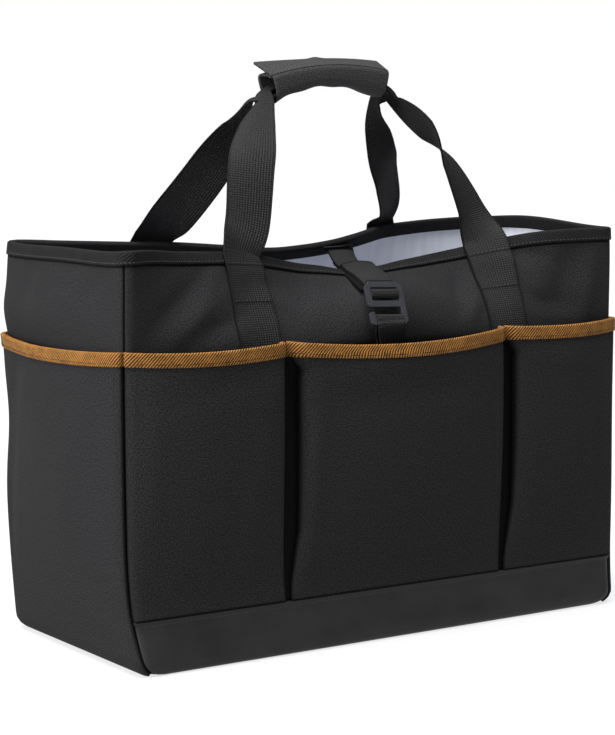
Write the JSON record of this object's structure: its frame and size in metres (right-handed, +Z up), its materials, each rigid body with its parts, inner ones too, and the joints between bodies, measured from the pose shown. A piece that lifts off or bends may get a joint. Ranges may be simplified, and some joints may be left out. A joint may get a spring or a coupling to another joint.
{
  "type": "utility tote bag",
  "caption": "Wide open-topped fabric utility tote with pleated front pockets, side pockets, webbing handles in a rolled wrap, a coated base and a buckled strap over the mouth.",
  "frame": {"origin": "on the floor, under the middle of the body", "axes": "+Z up, +X along the width towards the right of the front, the front faces -Y"},
  "size_m": [0.5504, 0.2515, 0.5044],
  "materials": {
    "cloth": "woven polyester, matt",
    "coated_base": "coated fabric, smooth",
    "lining": "satin lining",
    "rim_twill": "twill tape",
    "tan_twill": "twill tape",
    "webbing": "ribbed webbing",
    "buckle_plastic": "moulded, satin"
  },
  "bodies": {
    "root": {"front_panel": "cloth", "back_panel": "cloth", "side_panel_left": "cloth", "side_panel_right": "cloth", "base": "coated_base", "lining": "lining", "rim_tape": "rim_twill", "pocket_front_left": "cloth", "pocket_front_centre": "cloth", "pocket_front_right": "cloth", "pocket_side_left": "cloth", "pocket_side_right": "cloth", "tape_front_left": "tan_twill", "tape_front_centre": "tan_twill", "tape_front_right": "tan_twill", "tape_side_left": "tan_twill", "tape_side_right": "tan_twill", "handle_front": "webbing", "handle_back": "webbing", "handle_wrap": "cloth", "closure_strap": "cloth", "buckle_loop": "webbing", "buckle": "buckle_plastic", "closure_webbing": "webbing"}
  },
  "joints": []
}
